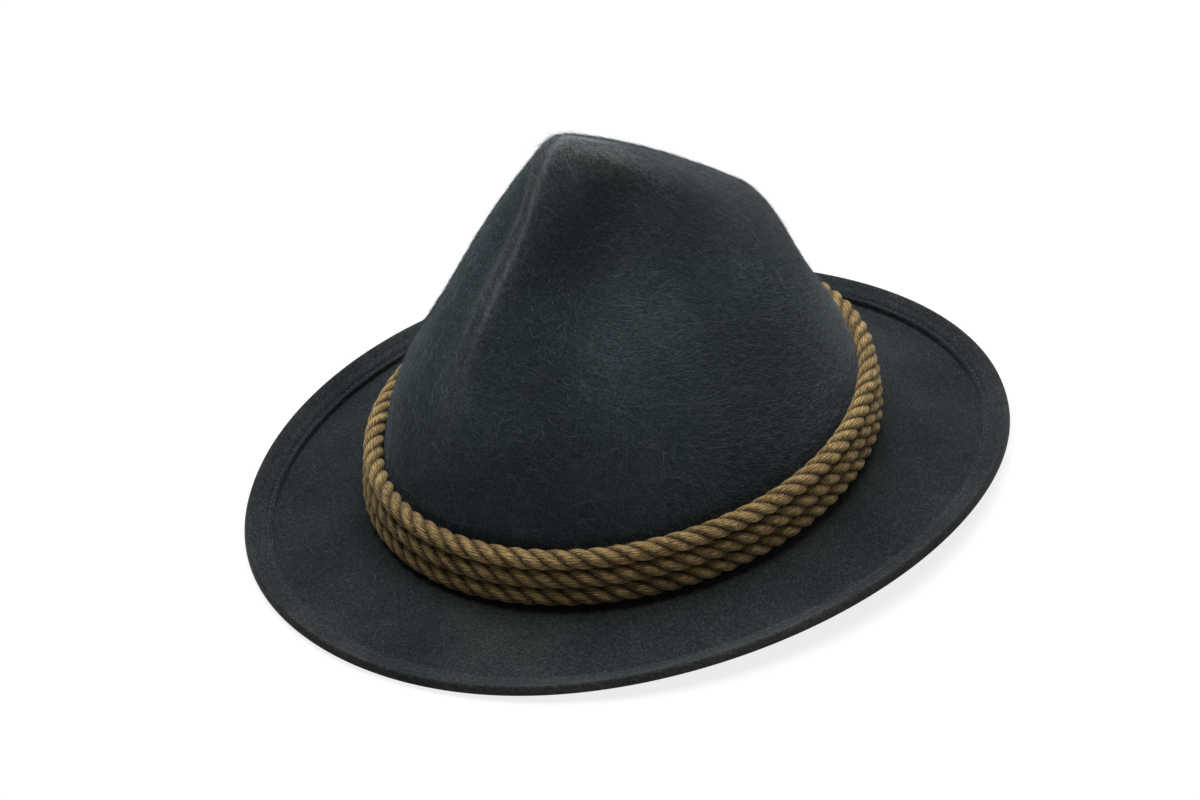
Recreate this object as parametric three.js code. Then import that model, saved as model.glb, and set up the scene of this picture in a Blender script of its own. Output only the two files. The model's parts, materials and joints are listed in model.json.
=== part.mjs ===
// A forester hat: one felt body (crown, brim and the brim's turned-over edge) and three
// twisted cords around the foot of the crown. Millimetres, +Z up, the hat's front towards -Y.
import * as THREE from 'three';

const HALF_TURN = Math.PI;
const STEPS_ROUND = 64;          // facets around the head, shared by felt and cords

const felt = {
  wall: 2.1,                     // thickness of one layer of felt
  crownLevels: [0.008, 0.06, 0.13, 0.21, 0.3, 0.39, 0.48, 0.56, 0.63, 0.7, 0.76, 0.81, 0.855,
    0.895, 0.93, 0.96, 0.983, 1],  // 0 at the brim, 1 on the ridge
};

// The crown's sections, from its foot (level 0) up to its ridge (level 1).
const sections = [
  { level: 0.00, halfWidth: 82.5, front: -100.0, back: 100.0 },
  { level: 0.12, halfWidth: 81.5, front: -99.5, back: 98.5 },
  { level: 0.25, halfWidth: 78.0, front: -95.5, back: 97.0 },
  { level: 0.50, halfWidth: 64.5, front: -76.0, back: 92.0 },
  { level: 0.75, halfWidth: 60.5, front: -53.0, back: 78.0 },
  { level: 1.00, halfWidth: 53.5, front: -42.0, back: 72.0 },
];
const crown = {
  eggShape: 0.1,                 // how much narrower the front of the upper sections is
  topRoundness: 3.55,            // a low power gives a pointed top, a high one a flat top
  frontRound: 12.5, backRound: 13.5,
};
const ridge = { frontY: -36, frontZ: 154.2, backY: 63.5, backZ: 92.5, arch: 2.6 };
const foot = { middle: 0.4, tip: -9.2, twist: 0.4 };   // height of the crown's foot round the head

// The two hollows pinched in behind the front edge, on the wearer's left and right.
const pinches = {
  left: { depth: 18, reach: 28, below: 27, sharpness: 1.6, fall: 2.1 },
  right: { depth: 6.5, reach: 11, below: 46, sharpness: 1.6, fall: 2.8 },
};
const frontEdge = 8.5;            // half width of the edge that stays between the two hollows

const brim = {
  halfWidth: 125, halfLength: 164, shift: 5, egg: -1.5, square: 0.3,
  height: [-7.8, 0.35, -3.7, 0.7, 0.45],         // rim height: even part, then 1 to 4 waves round
  upturn: [19.6, -3, -5.6, -2.3],                // upturn of the edge in degrees, the same way
  foldWidth: 10.5,                               // the edge turned over on top of the brim
  bend: 0.35,                                    // how far the upturn reaches into the brim
  restPitch: 0.0113,                             // levels the front and the back of the brim
  restWear: 0.8,                                 // flattened where the brim stands
};

const cord = { radius: 3.75, sides: 10, gap: 0.35, fromFelt: 0.5 };
const cordNames = ['cord_bottom', 'cord_middle', 'cord_top'];

const feltMaterial = new THREE.MeshStandardMaterial({ name: 'felt', color: 0x2b3438, roughness: 0.95 });
const cordMaterial = new THREE.MeshStandardMaterial({ name: 'cord', color: 0x7a6337, roughness: 0.9 });

// A smooth curve through one column of the section table (cubic pieces with shared slopes).
function sectionValue(column, level) {
  const slopeOf = (a, b) => (sections[b][column] - sections[a][column])
    / (sections[b].level - sections[a].level);
  const slopeAt = (i) => {
    if (i === 0) return slopeOf(0, 1);
    if (i === sections.length - 1) return slopeOf(i - 1, i);
    const before = sections[i].level - sections[i - 1].level;
    const after = sections[i + 1].level - sections[i].level;
    return (before * slopeOf(i, i + 1) + after * slopeOf(i - 1, i)) / (before + after);
  };
  let i = 0;
  while (i < sections.length - 2 && level >= sections[i + 1].level) i += 1;
  const span = sections[i + 1].level - sections[i].level;
  const u = (level - sections[i].level) / span;
  return sections[i][column] * (2 * u ** 3 - 3 * u ** 2 + 1)
    + slopeAt(i) * span * (u ** 3 - 2 * u ** 2 + u)
    + sections[i + 1][column] * (3 * u ** 2 - 2 * u ** 3)
    + slopeAt(i + 1) * span * (u ** 3 - u ** 2);
}

// Height of the crown's foot at an angle round the head, 0 at the front.
const footHeight = (angle) => foot.middle + foot.tip * Math.cos(angle)
  + foot.twist * Math.cos(2 * angle);

// Height of the ridge above a place y: a slope from front to back with a slight arch.
function ridgeHeight(y) {
  const u = (y - ridge.frontY) / (ridge.backY - ridge.frontY);
  return ridge.frontZ + (ridge.backZ - ridge.frontZ) * u + 4 * ridge.arch * u * (1 - u);
}

// How deep a hollow is at a distance from the front edge and a depth below the ridge:
// both grow to a peak at reach and below, then die away.
function pinchDepth(pinch, fromEdge, belowRidge) {
  const q = fromEdge / pinch.reach;
  const v = belowRidge / pinch.below;
  return pinch.depth * q ** pinch.sharpness * Math.exp(pinch.sharpness * (1 - q))
    * v ** pinch.fall * Math.exp(pinch.fall * (1 - v));
}

// A point of the crown: an egg-shaped section at the level, closed to a ridge at level 1,
// pushed in by the hollow of its side.
function crownPoint(angle, level) {
  const closing = Math.sqrt(Math.max(0, 1 - level ** crown.topRoundness));
  const tipRound = 1 - Math.sqrt(Math.max(0, 1 - level ** 10));
  const halfWidth = sectionValue('halfWidth', level) * closing;
  const front = sectionValue('front', level) + crown.frontRound * tipRound;
  const back = sectionValue('back', level) - crown.backRound * tipRound;
  const halfLength = (back - front) / 2;
  const x = halfWidth * Math.sin(angle) * (1 - crown.eggShape * level * Math.cos(angle));
  const y = (front + back) / 2 - halfLength * Math.cos(angle);
  const top = ridgeHeight(y);
  const z = footHeight(angle) * (1 - level) + top * level;
  const pinch = x > 0 ? pinches.left : pinches.right;
  const push = pinchDepth(pinch, Math.hypot(x, y - front), Math.max(0, top - z))
    * (1 - Math.exp(-((x / frontEdge) ** 2)));
  const inward = new THREE.Vector2(-Math.sin(angle) * halfLength, Math.cos(angle) * halfWidth);
  if (inward.length() > 1e-6) inward.normalize();
  return new THREE.Vector3(x + inward.x * push, y + inward.y * push, z);
}

// The inner face of the felt: one wall thickness in from the outer face, square to it.
function crownInside(angle, level) {
  const point = crownPoint(angle, level);
  if (level === 1) {
    const slope = (ridgeHeight(point.y + 1) - ridgeHeight(point.y - 1)) / 2;
    return point.addScaledVector(new THREE.Vector3(0, -slope, 1).normalize(), -felt.wall);
  }
  const round = crownPoint(angle + 0.01, level).sub(crownPoint(angle - 0.01, level));
  const up = crownPoint(angle, level + 0.002).sub(crownPoint(angle, Math.max(0, level - 0.002)));
  return point.addScaledVector(round.cross(up).normalize(), -felt.wall);
}

const waves = (parts, angle) => parts.reduce((sum, part, n) => sum + part * Math.cos(n * angle), 0);

// The brim's outline seen from above: an oval, slightly egg-shaped and square.
function rimPlan(angle) {
  const size = 1 + (brim.egg * Math.cos(3 * angle) + brim.square * Math.cos(4 * angle)) / 156;
  return new THREE.Vector2(brim.halfWidth * Math.sin(angle) * size,
    brim.shift - brim.halfLength * Math.cos(angle) * size);
}

// The rim at an angle: its top edge and the directions along and through the turned-up edge.
function rimFrame(angle) {
  const ahead = rimPlan(angle + 0.01).sub(rimPlan(angle - 0.01)).normalize();
  const outward = new THREE.Vector3(ahead.y, -ahead.x, 0);
  const upturn = THREE.MathUtils.degToRad(waves(brim.upturn, angle));
  const up = new THREE.Vector3(0, 0, 1);
  const along = outward.clone().multiplyScalar(Math.cos(upturn))
    .addScaledVector(up, Math.sin(upturn));
  const down = outward.clone().multiplyScalar(Math.sin(upturn))
    .addScaledVector(up, -Math.cos(upturn));
  const plan = rimPlan(angle);
  return { edge: new THREE.Vector3(plan.x, plan.y, waves(brim.height, angle)), along, down };
}

// The brim from the crown's foot (s = 0) to the fold (s = 1): a cubic that leaves straight
// for the fold and arrives partly turned up like it.
function brimPoint(foot, fold, along, s) {
  const chord = fold.clone().sub(foot);
  const arrive = chord.clone().multiplyScalar(1 - brim.bend)
    .addScaledVector(along, brim.bend * chord.length());
  return foot.clone().multiplyScalar(2 * s ** 3 - 3 * s ** 2 + 1)
    .addScaledVector(fold, 3 * s ** 2 - 2 * s ** 3)
    .addScaledVector(chord, s ** 3 - 2 * s ** 2 + s)
    .addScaledVector(arrive, s ** 3 - s ** 2);
}

// One profile of the felt: down the outer face of the crown from the ridge, out over the
// brim, round the turned-over edge, back under the brim and up the inner face to the ridge.
function feltProfile(angle) {
  const { edge, along, down } = rimFrame(angle);
  const rimPoint = (inFromEdge, depth) => edge.clone()
    .addScaledVector(along, -inFromEdge).addScaledVector(down, depth);
  const layer = felt.wall;
  const footTop = crownPoint(angle, 0);
  const footUnder = crownInside(angle, 0).add(new THREE.Vector3(0, 0, -layer));
  const foldTop = rimPoint(brim.foldWidth, layer);
  const foldUnder = rimPoint(brim.foldWidth, 2 * layer);
  const downCrown = [...felt.crownLevels].reverse().map((level) => crownPoint(angle, level));
  const upCrown = felt.crownLevels.map((level) => crownInside(angle, level));
  const overBrim = [0.025, 0.16, 0.36, 0.58, 0.8, 1]
    .map((s) => brimPoint(footTop, foldTop, along, s));
  const underBrim = [0.95, 0.79, 0.6, 0.4, 0.2, 0.025]
    .map((s) => brimPoint(footUnder, foldUnder, along, s));
  const fold = [rimPoint(brim.foldWidth - 0.3, 0.35), rimPoint(brim.foldWidth - 1, 0),
    rimPoint(5, 0), rimPoint(1.4, 0), rimPoint(0.4, 0.5), rimPoint(-0.2, layer),
    rimPoint(0.4, 2 * layer - 0.5), rimPoint(1.4, 2 * layer), rimPoint(brim.foldWidth - 2, 2 * layer),
    foldUnder];
  return [...downCrown, ...overBrim, ...fold, ...underBrim, ...upCrown];
}

// The middle line of a cord: just outside the felt, at one height above the crown's foot.
function cordPoint(angle, height) {
  let level = height / 150;
  for (let pass = 0; pass < 6; pass += 1) {
    level = height / (ridgeHeight(crownPoint(angle, level).y) - footHeight(angle));
  }
  const point = crownPoint(angle, level);
  const away = cord.radius + cord.fromFelt;
  const outward = new THREE.Vector3(Math.sin(angle) * 100, -Math.cos(angle) * 82.5, 0).normalize();
  return { middle: point.addScaledVector(outward, away), outward };
}

function cordRing(angle, height) {
  const { middle, outward } = cordPoint(angle, height);
  const ring = [];
  for (let side = 0; side < cord.sides; side += 1) {
    const turn = (2 * HALF_TURN * side) / cord.sides;
    ring.push(middle.clone().addScaledVector(outward, cord.radius * Math.cos(turn))
      .add(new THREE.Vector3(0, 0, cord.radius * Math.sin(turn))));
  }
  return ring;
}

const anglesRound = Array.from({ length: STEPS_ROUND }, (_, i) => (2 * HALF_TURN * i) / STEPS_ROUND);

// Joins profiles round the head into one closed skin, and turns it to face outwards.
function closedSkin(profiles, joinEnds) {
  const rows = profiles[0].length;
  const corners = [];
  const triangle = (a, b, c) => {
    if (a.distanceTo(b) > 1e-4 && b.distanceTo(c) > 1e-4 && c.distanceTo(a) > 1e-4) {
      corners.push(a, b, c);
    }
  };
  profiles.forEach((profile, i) => {
    const next = profiles[(i + 1) % profiles.length];
    for (let j = 0; j < (joinEnds ? rows : rows - 1); j += 1) {
      const k = (j + 1) % rows;
      triangle(profile[j], profile[k], next[k]);
      triangle(profile[j], next[k], next[j]);
    }
  });
  let volume = 0;
  for (let i = 0; i < corners.length; i += 3) {
    volume += corners[i].dot(corners[i + 1].clone().cross(corners[i + 2]));
  }
  if (volume < 0) {
    for (let i = 0; i < corners.length; i += 3) {
      [corners[i + 1], corners[i + 2]] = [corners[i + 2], corners[i + 1]];
    }
  }
  return new THREE.BufferGeometry().setFromPoints(corners);
}

const feltProfiles = anglesRound.map(feltProfile);
const cordProfiles = cordNames.map((name, row) => {
  const height = cord.radius + cord.fromFelt + 0.15 + row * (2 * cord.radius + cord.gap);
  return anglesRound.map((angle) => cordRing(angle, height));
});

// Levels the brim, lowers the hat onto the floor, flattens where it stands and centres it.
const everyPoint = [feltProfiles, ...cordProfiles].flat(2);
everyPoint.forEach((point) => { point.z += brim.restPitch * point.y; });
const lowest = Math.min(...feltProfiles.flat().map((point) => point.z));
const middleY = (Math.min(...feltProfiles.flat().map((p) => p.y))
  + Math.max(...feltProfiles.flat().map((p) => p.y))) / 2;
everyPoint.forEach((point) => {
  point.z = Math.max(0, point.z - lowest - brim.restWear);
  point.y -= middleY;
});

const hat = new THREE.Group();
hat.name = 'forester_hat';
const add = (name, geometry, material) => {
  const mesh = new THREE.Mesh(geometry, material);
  mesh.name = name;
  hat.add(mesh);
};
add('felt_body', closedSkin(feltProfiles, false), feltMaterial);
cordNames.forEach((name, row) => add(name, closedSkin(cordProfiles[row], true), cordMaterial));

export default hat;
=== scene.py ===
# Forester hat: a long-haired felt body with a sewn edge, and three twisted cords.
# Shapes are worked out in millimetres in the hat's own frame (front -Y, wearer's left +X)
# and then set down on the floor as the CAD parts are.
import json
import math
import bpy
import numpy as np
from mathutils import Matrix, Vector

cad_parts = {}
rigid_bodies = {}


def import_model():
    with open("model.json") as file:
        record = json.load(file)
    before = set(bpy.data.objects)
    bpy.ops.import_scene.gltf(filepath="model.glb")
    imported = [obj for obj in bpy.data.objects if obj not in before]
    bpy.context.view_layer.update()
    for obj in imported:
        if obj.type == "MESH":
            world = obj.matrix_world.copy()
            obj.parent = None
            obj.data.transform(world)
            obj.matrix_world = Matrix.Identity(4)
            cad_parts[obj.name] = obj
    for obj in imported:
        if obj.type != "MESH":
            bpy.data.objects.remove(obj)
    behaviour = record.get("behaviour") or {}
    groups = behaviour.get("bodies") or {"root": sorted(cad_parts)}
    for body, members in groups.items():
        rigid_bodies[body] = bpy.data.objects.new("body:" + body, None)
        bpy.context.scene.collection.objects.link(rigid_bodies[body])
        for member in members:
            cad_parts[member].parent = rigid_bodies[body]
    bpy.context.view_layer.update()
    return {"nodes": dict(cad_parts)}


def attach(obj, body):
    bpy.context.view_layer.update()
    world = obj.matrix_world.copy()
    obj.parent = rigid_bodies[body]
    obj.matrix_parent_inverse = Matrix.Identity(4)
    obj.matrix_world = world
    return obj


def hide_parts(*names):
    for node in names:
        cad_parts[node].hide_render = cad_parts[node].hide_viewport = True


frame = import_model()
print("frame loaded:", list(frame["nodes"]))

rng = np.random.default_rng(11)   # one seed, so that every run grows the same hair

# How the hat stands.
standing = {
    "restPitch": 0.0113,   # levels the front and the back of the brim
    "lift": 16.9,          # mm, lowest part of the brim down to the floor
    "centreY": 6.76,       # mm, middle of the brim's length
}


def toFloor(points):
    # shear by the rest pitch, lift, centre, flatten at the floor, then millimetres to metres
    x, y, z = points[..., 0], points[..., 1], points[..., 2]
    z = np.maximum(z + standing["restPitch"] * y + standing["lift"], 0.0)
    return np.stack([x, y - standing["centreY"], z], -1) / 1000.0


# Mesh helpers.
def makeMesh(name, points, quads=None, tris=None, smooth=True):
    # one mesh from whole arrays: corner lists of quads and triangles behind each other
    mesh = bpy.data.meshes.new(name)
    quads = np.zeros((0, 4), int) if quads is None else quads.reshape(-1, 4)
    tris = np.zeros((0, 3), int) if tris is None else tris.reshape(-1, 3)
    corners = np.concatenate([quads.ravel(), tris.ravel()]).astype(np.int32)
    starts = np.concatenate([np.arange(len(quads)) * 4,
                             len(quads) * 4 + np.arange(len(tris)) * 3]).astype(np.int32)
    mesh.vertices.add(len(points))
    mesh.vertices.foreach_set("co", points.astype(np.float32).ravel())
    mesh.loops.add(len(corners))
    mesh.loops.foreach_set("vertex_index", corners)
    mesh.polygons.add(len(starts))
    mesh.polygons.foreach_set("loop_start", starts)
    mesh.update(calc_edges=True)
    mesh.polygons.foreach_set("use_smooth", np.full(len(starts), smooth))
    mesh.validate()
    piece = bpy.data.objects.new(name, mesh)
    bpy.context.collection.objects.link(piece)
    return piece


def keepValues(piece, name, values):
    # a number or a vector kept at every vertex, for the materials to read
    kind = "FLOAT" if values.ndim == 1 else "FLOAT_VECTOR"
    field = "value" if values.ndim == 1 else "vector"
    attribute = piece.data.attributes.new(name, kind, "POINT")
    attribute.data.foreach_set(field, values.astype(np.float32).ravel())


def gridQuads(rows, columns, closedRows=False, turned=False):
    # quads of a grid whose columns run round in a ring, turned to face the other way if asked
    r = np.arange(rows if closedRows else rows - 1)[:, None]
    c = np.arange(columns)[None, :]
    nextRow, nextColumn = (r + 1) % rows, (c + 1) % columns
    corners = [r * columns + c, nextRow * columns + c,
               nextRow * columns + nextColumn, r * columns + nextColumn]
    return np.stack([corners[k] for k in ((0, 3, 2, 1) if turned else (0, 1, 2, 3))], -1)


def unit(vectors):
    # each vector over its own length
    return vectors / np.maximum(np.linalg.norm(vectors, axis=-1, keepdims=True), 1e-9)


def waves(parts, angle):
    # even part plus 1, 2, 3 and 4 cosine waves round the head
    return sum(part * np.cos(n * angle) for n, part in enumerate(parts))


def softWaves(angle, height, seed, count, lowest, highest):
    # slow unevenness: a sum of sine waves, each with 1 to 6 turns round the head and a random
    # pace up it and phase, over the square root of their number
    pick = np.random.default_rng(seed)
    total = 0.0
    for _ in range(count):
        turns = pick.integers(1, 7)
        pace, phase = pick.uniform(lowest, highest), pick.uniform(0, 6.28)
        total = total + np.sin(turns * angle + pace * height + phase) / count ** 0.5
    return total


# Felt crown.
crown = {
    "levels": [0.00, 0.12, 0.25, 0.50, 0.75, 1.00],   # foot to ridge
    "halfWidth": [82.5, 81.5, 78.0, 64.5, 60.5, 53.5],
    "front": [-100.0, -99.5, -95.5, -76.0, -53.0, -42.0],
    "back": [100.0, 98.5, 97.0, 92.0, 78.0, 72.0],
    "eggShape": 0.10, "topRoundness": 3.55, "frontRound": 12.5, "backRound": 13.5,
    "ridgeY": (-36.0, 63.5), "ridgeZ": (154.2, 92.5), "ridgeArch": 2.6,
    "foot": [0.4, -9.2, 0.4],
    "leftPinch": (18.0, 28.0, 27.0, 1.6, 2.1),        # depth, reach, below, two sharpnesses
    "rightPinch": (6.5, 11.0, 46.0, 1.6, 2.8),
    "frontEdge": 8.5,                                 # half width left unpinched at the front
    "tipPower": 10,                                   # how late the ends round up to the ridge
    "unevenness": 0.45, "waves": (5, 9, 0.01, 0.05),  # mm, then seed, count, lowest, highest pace
    "wall": 2.1,
}
slightTurn, slightLevel = 0.01, 0.002   # steps for slopes, in radians and in levels
ridgeLevel = 0.9999                     # above it lies the ridge line


def alongColumn(name, level):
    # cubic pieces through the section table, with shared slopes
    xs, ys = np.array(crown["levels"]), np.array(crown[name])
    slopes = np.gradient(ys, xs)
    i = np.clip(np.searchsorted(xs, level, side="right") - 1, 0, len(xs) - 2)
    span = xs[i + 1] - xs[i]
    u = (level - xs[i]) / span
    return (ys[i] * (2 * u ** 3 - 3 * u ** 2 + 1) + slopes[i] * span * (u ** 3 - 2 * u ** 2 + u)
            + ys[i + 1] * (3 * u ** 2 - 2 * u ** 3) + slopes[i + 1] * span * (u ** 3 - u ** 2))


def ridgeHeight(y):
    # straight slope from front to back plus a shallow parabola
    u = (y - crown["ridgeY"][0]) / (crown["ridgeY"][1] - crown["ridgeY"][0])
    low, high = crown["ridgeZ"][1], crown["ridgeZ"][0]
    return high + (low - high) * u + 4 * crown["ridgeArch"] * u * (1 - u)


def pinchDepth(pinch, away, below):
    # rises to its depth at reach and below, and dies away past them
    depth, reach, belowPeak, spread, fall = pinch
    q, v = away / reach, below / belowPeak
    return depth * q ** spread * np.exp(spread * (1 - q)) * v ** fall * np.exp(fall * (1 - v))


def tipRounding(level):
    # nothing low down and a quick rise to 1 at the ridge: 1 minus the root of 1 - level ^ power
    return 1 - np.sqrt(np.maximum(0, 1 - level ** crown["tipPower"]))


def crownSurface(angle, level):
    # egg-shaped section at the level, closed to a ridge at level 1, minus the pinch
    closing = np.sqrt(np.maximum(0, 1 - level ** crown["topRoundness"]))
    tipRound = tipRounding(level)
    halfWidth = alongColumn("halfWidth", level) * closing
    front = alongColumn("front", level) + crown["frontRound"] * tipRound
    back = alongColumn("back", level) - crown["backRound"] * tipRound
    halfLength = (back - front) / 2
    x = halfWidth * np.sin(angle) * (1 - crown["eggShape"] * level * np.cos(angle))
    y = (front + back) / 2 - halfLength * np.cos(angle)
    top = ridgeHeight(y)
    z = waves(crown["foot"], angle) * (1 - level) + top * level
    away, below = np.hypot(x, y - front), np.maximum(0, top - z)
    push = np.where(x > 0, pinchDepth(crown["leftPinch"], away, below),
                    pinchDepth(crown["rightPinch"], away, below))
    push = push * (1 - np.exp(-(x / crown["frontEdge"]) ** 2))
    # soft hand-worked unevenness, none at the foot or on the ridge
    push = push + crown["unevenness"] * np.sin(np.pi * level) * softWaves(angle, z, *crown["waves"])
    inward = unit(np.stack([-np.sin(angle) * halfLength, np.cos(angle) * halfWidth], -1))
    return np.stack([x + inward[..., 0] * push, y + inward[..., 1] * push, z + 0 * x], -1)


def crownNormal(angle, level):
    # cross product of the steps round the head and up the crown
    around = crownSurface(angle + slightTurn, level) - crownSurface(angle - slightTurn, level)
    up = (crownSurface(angle, np.minimum(level + slightLevel, 1))
          - crownSurface(angle, np.maximum(level - slightLevel, 0)))
    return unit(np.cross(around, up))


def crownInside(angle, level):
    # one wall in from the outer face, square to it; on the ridge line square to the slope
    y = crownSurface(angle, level)[..., 1]
    slope = (ridgeHeight(y + 1) - ridgeHeight(y - 1)) / 2
    onRidge = unit(np.stack([0 * y, -slope, 1 + 0 * y], -1))
    normal = np.where((level > ridgeLevel)[..., None], onRidge, crownNormal(angle, level))
    return crownSurface(angle, level) - crown["wall"] * normal


# Felt brim.
brim = {
    "halfWidth": 125.0, "halfLength": 164.0, "shift": 5.0,
    "egg": -1.5, "square": 0.3, "plainRadius": 156,   # mm of both at that radius
    "height": [-7.8, 0.35, -3.7, 0.7, 0.45],          # mm, waves of the rim
    "rimUnevenness": 0.25, "rimWaves": (8, 7, 0, 0),
    "upturn": [19.6, -3.0, -5.6, -2.3],               # degrees, waves of the fold
    "foldWidth": 10.5, "layer": 2.1,
    "bend": 0.35,           # how far the upturn reaches into the brim
    "seamIn": 8.3,          # mm from the rim to the sewn groove
    "seamDepth": 0.55, "seamWidth": 0.75,
    "pressIn": 4.6, "pressDepth": 0.22, "pressWidth": 0.9,
    "unevenness": 0.35, "waves": (6, 8, 0.02, 0.12),
    "waveRun": 30,          # mm from foot to fold, as those waves reckon it
}


def rimPlan(angle):
    # oval seen from above, made a little egg-shaped by 3 waves and square by 4
    bulge = brim["egg"] * np.cos(3 * angle) + brim["square"] * np.cos(4 * angle)
    size = 1 + bulge / brim["plainRadius"]
    return np.stack([brim["halfWidth"] * np.sin(angle) * size,
                     brim["shift"] - brim["halfLength"] * np.cos(angle) * size], -1)


def rimFrame(angle):
    # top edge of the rim, the direction out along the fold and the one down through it
    ahead = unit(rimPlan(angle + slightTurn) - rimPlan(angle - slightTurn))
    outward = np.stack([ahead[..., 1], -ahead[..., 0], 0 * angle], -1)
    turn = np.radians(waves(brim["upturn"], angle))[..., None]
    up = np.array([0.0, 0.0, 1.0])
    along = outward * np.cos(turn) + up * np.sin(turn)
    down = outward * np.sin(turn) - up * np.cos(turn)
    edgeHeight = (waves(brim["height"], angle)
                  + brim["rimUnevenness"] * softWaves(angle, 0, *brim["rimWaves"]))
    edge = np.concatenate([rimPlan(angle), edgeHeight[..., None]], -1)
    return edge, along, down


def foldPoint(angle, inset, depth):
    # in from the rim's top edge by the inset and down through the felt by the depth
    edge, along, down = rimFrame(angle)
    return edge - along * inset[..., None] + down * depth[..., None]


def brimCurve(start, finish, leave, arrive, s):
    # cubic from start to finish that leaves and arrives along the given directions
    s = s[..., None]
    return (start * (2 * s ** 3 - 3 * s ** 2 + 1) + leave * (s ** 3 - 2 * s ** 2 + s)
            + finish * (3 * s ** 2 - 2 * s ** 3) + arrive * (s ** 3 - s ** 2))


def brimSheet(angle, s, under):
    # top or underside of the brim, from the crown's foot (s 0) to the fold (s 1)
    foot = crownInside(angle, 0 * angle) if under else crownSurface(angle, 0 * angle)
    foot = foot - np.array([0, 0, brim["layer"] if under else 0.0])
    depth = 2 * brim["layer"] if under else brim["layer"]
    fold = foldPoint(angle, brim["foldWidth"] + 0 * angle, depth + 0 * angle)
    _, along, _ = rimFrame(angle)
    chord = fold - foot
    length = np.linalg.norm(chord, axis=-1, keepdims=True)
    arrive = chord * (1 - brim["bend"]) + along * length * brim["bend"]
    sheet = brimCurve(foot, fold, chord, arrive, s)
    ripple = softWaves(angle, brim["waveRun"] * s, *brim["waves"])
    sheet[..., 2] += np.sin(np.pi * s) * brim["unevenness"] * ripple
    return sheet


def weltSink(inset):
    # two shallow grooves pressed into the turned-over edge, as smooth bell shapes
    seam = brim["seamDepth"] * np.exp(-((inset - brim["seamIn"]) / brim["seamWidth"]) ** 2)
    press = brim["pressDepth"] * np.exp(-((inset - brim["pressIn"]) / brim["pressWidth"]) ** 2)
    return seam + press


# Felt body, one closed skin.
feltGrid = {
    "around": 352, "crownRows": 76, "brimRows": 36, "underRows": 22, "innerRows": 34,
    "frontDensity": 0.42,                   # draws the columns together at the front edge
    "topShare": 3, "topReach": 0.6,         # one crown row in three lies on the rounded top
    "lastLevel": 0.01, "firstStep": 0.02,   # rows stop just short of the foot on both sides
}

welt = {  # mm in from the rim, and mm down from its top face
    "cutEdge": [[10.4, 1.75], [10.2, 1.25], [9.95, 0.75], [9.7, 0.35], [9.45, 0.1]],
    "topFrom": 9.3, "topTo": 2.1, "topRows": 26, "rise": 0.12,
    "rimMiddle": (1.9, 2.1), "rimReach": 2.1, "rimTurn": 80, "rimSquareness": 3.6, "rimRows": 13,
    "underInsets": [2.6, 4.0, 5.4, 6.6, 7.4, 7.9, 8.3, 8.7, 9.3, 10.0],
    "underDepth": 4.2, "underSink": 0.8,
    "hairyRim": 3,                          # rows of the rim that count as its top
}

feltNap = {  # each lay: name, lean in radians a mm, stretch
    "lays": [("nap", 0.004, 7.5), ("napCross", -0.016, 6.0), ("napBack", 0.022, 6.0)],
    "radius": 95.0, "brimStretch": 1.7, "brimOffset": 500,
}

feltWearAndPaintedLight = {  # lengths in mm; a climb starts and ends at its two heights, or along the hat
    # brown: partly sun-faded felt, partly painted light on the lit ridge and front edge
    "ridgeBrown": 26, "ridgeSharpness": 1.3,
    "prowBrown": 0.7, "prowWidth": 6, "prowClimb": (40, 100),
    "brownMiddle": 0.85, "brownRun": 140, "brownLeast": 0.3,   # less brown towards the back
    "brimBrown": 0.5, "rimBrown": 0.8,
    # painted highlight along the front edge
    "edgeHighlightMiddle": 1.2, "edgeHighlightWidth": 1.3, "edgeHighlightClimb": (70, 95),
    # painted shade in the left hollow
    "hollow": (1.0, 24.0, 40.0, 1.5, 2.0),                     # like the crown's pinches
    "hollowShade": 0.57, "hollowSharpness": 1.5,
    # painted shade at the foot of the crown, under the band
    "footShade": 0.36, "footHeight": 45,
    # painted shade near the ridge, growing towards its back
    "backShade": 0.4, "backBelow": 40, "backClimb": (-20, 50),  # of the ridge, to its back
    # brim: its even colour level, the painted light of its waves round it, the painted welt
    # highlight
    "brimShade": 0.345, "brimWave": 0.1, "lightSide": 65, "weltLight": 1.25,
    "patches": [  # centre above the floor, radius, amount: painted light where above 0, painted shade where below
        ((43.0, -48.0, 100.0), 25.0, 0.62), ((30.0, -3.0, 127.0), 24.0, -0.42),
        ((7.0, -34.0, 160.0), 14.0, 0.55), ((11.0, -56.0, 128.0), 15.0, -0.2),
        ((77.0, -8.0, 52.0), 32.0, -0.25),
    ],
}

evenAngles = 2 * np.pi * (np.arange(feltGrid["around"]) / feltGrid["around"])
angles = evenAngles - feltGrid["frontDensity"] * np.sin(evenAngles)


def levelRows(count):
    # rows even across the rounded top, where level = (1 - closing ^ 2) ^ (1 / roundness), and
    # then even down to the foot
    topRows = count // feltGrid["topShare"]
    closing = np.linspace(0, feltGrid["topReach"], topRows)
    top = (1 - closing ** 2) ** (1 / crown["topRoundness"])
    side = np.linspace(top[-1], feltGrid["lastLevel"], count - topRows + 1)[1:]
    return np.concatenate([top, side])


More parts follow.
